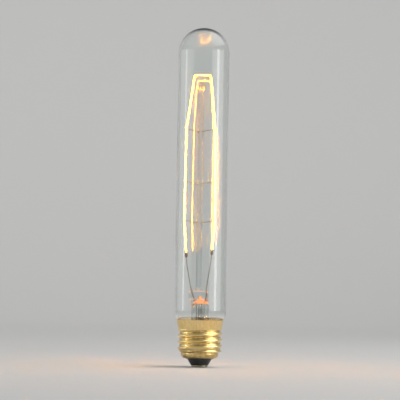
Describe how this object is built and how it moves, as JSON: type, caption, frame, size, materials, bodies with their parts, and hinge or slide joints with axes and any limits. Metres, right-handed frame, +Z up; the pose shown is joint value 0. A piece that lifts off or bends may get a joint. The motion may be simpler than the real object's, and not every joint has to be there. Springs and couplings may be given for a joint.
{
  "type": "carbon filament bulb",
  "caption": "Tall tubular clear glass bulb with a lit carbon hairpin on a glass rod, and a brass screw cap with a black insulator.",
  "frame": {"origin": "middle of the lowest face, the foot of the centre contact's solder, on the bulb's axis", "axes": "+Z up the bulb's axis to the dome; the filament's legs stand at -X and +X; the pictured front is at -Y"},
  "size_m": [0.03, 0.03, 0.2],
  "materials": {
    "clear_glass": "clear, polished, faint green",
    "stem_glass": "clear, fire-polished",
    "glowing_carbon": "carbon thread, lit",
    "carbon_paste": "matt black paste",
    "nickel_wire": "drawn, dull",
    "support_wire": "drawn, dark",
    "copper_wire": "copper, dull",
    "cap_brass": "drawn sheet, satin",
    "contact_brass": "dull",
    "black_glass": "glossy black",
    "solder": "dull grey, uneven",
    "cement": "matt, baked"
  },
  "bodies": {
    "root": {"glass_envelope": "clear_glass", "glass_stem": "stem_glass", "exhaust_tube": "stem_glass", "centre_rod": "stem_glass", "filament": "glowing_carbon", "filament_joint_left": "carbon_paste", "filament_joint_right": "carbon_paste", "lead_in_wire_left": "nickel_wire", "lead_in_wire_right": "nickel_wire", "seal_wire_left": "copper_wire", "seal_wire_right": "copper_wire", "shell_lead": "copper_wire", "contact_lead": "copper_wire", "screw_shell": "cap_brass", "insulator": "black_glass", "centre_contact": "contact_brass", "contact_solder": "solder", "side_solder": "solder", "capping_cement": "cement", "support_top_left": "support_wire", "support_top_right": "support_wire", "support_upper_left": "support_wire", "support_upper_right": "support_wire", "support_middle_left": "support_wire", "support_middle_right": "support_wire", "support_lower_left": "support_wire", "support_lower_right": "support_wire"}
  },
  "joints": []
}
